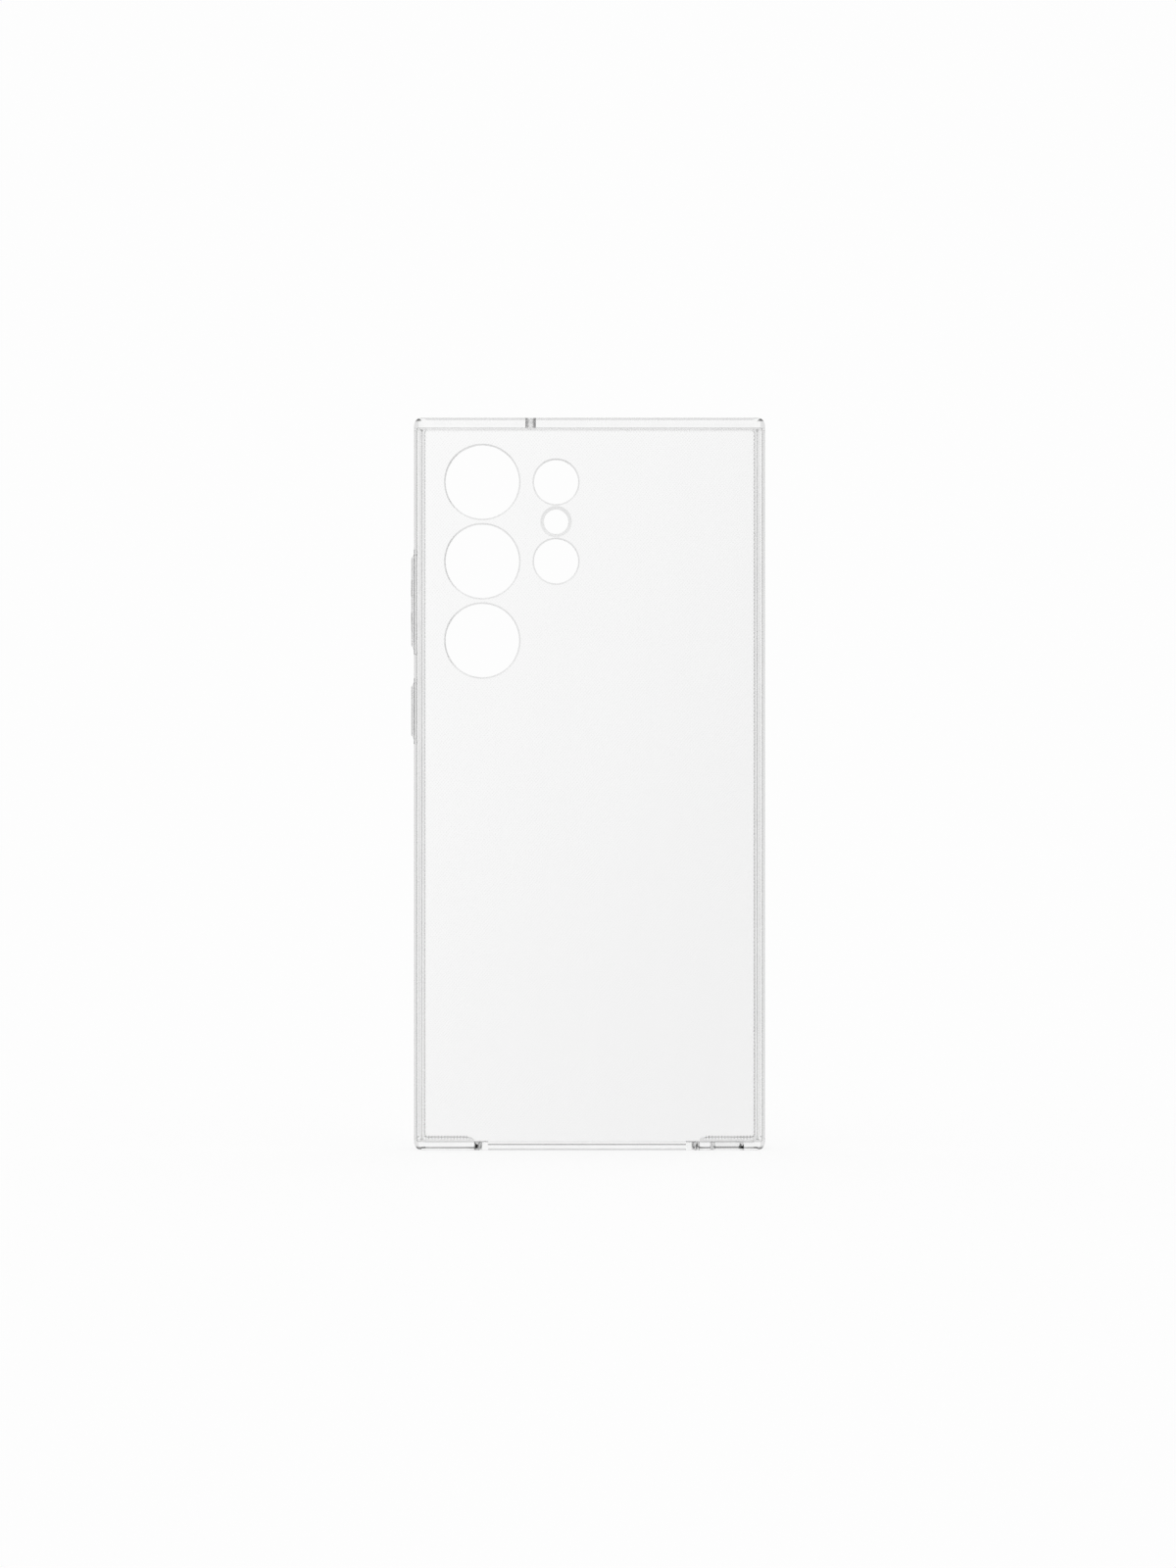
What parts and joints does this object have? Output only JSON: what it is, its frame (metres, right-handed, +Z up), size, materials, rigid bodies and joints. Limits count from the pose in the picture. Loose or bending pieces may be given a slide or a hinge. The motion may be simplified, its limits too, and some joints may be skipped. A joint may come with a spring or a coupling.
{
  "type": "phone case",
  "caption": "Slim clear phone case: a rigid clear back plate with camera openings in a moulded soft clear bumper frame, with two pressable key covers.",
  "frame": {"origin": "on the bottom edge's resting plane, below the middle of the case's width and depth", "axes": "+Z up the case towards its camera end, +X to the right when looking at the outside of the back, +Y through the depth from the back's outer face to the open side"},
  "size_m": [0.0811, 0.012, 0.1674],
  "materials": {
    "clear_plate": "clear rigid polycarbonate, polished, with a fine dot texture on the inner face",
    "clear_soft": "clear soft thermoplastic polyurethane, polished"
  },
  "bodies": {
    "shell": {"back_panel": "clear_plate", "bumper_frame": "clear_soft", "volume_key_web": "clear_soft", "side_key_web": "clear_soft"},
    "volume_key": {"volume_key_cover": "clear_soft"},
    "side_key": {"side_key_cover": "clear_soft"}
  },
  "joints": [
    {"name": "volume_key_rock", "type": "hinge", "parent": "shell", "child": "volume_key", "pos_m": [-0.03955, -0.0003, 0.1254], "axis": [0, 1, 0], "range_deg": [-1.4, 1.4], "stiffness_Nm_per_rad": 0.15, "deforming": ["volume_key_web"]},
    {"name": "side_key_press", "type": "slide", "parent": "shell", "child": "side_key", "axis": [1, 0, 0], "range_m": [0, 0.0003], "stiffness_N_per_m": 2000, "deforming": ["side_key_web"]}
  ]
}
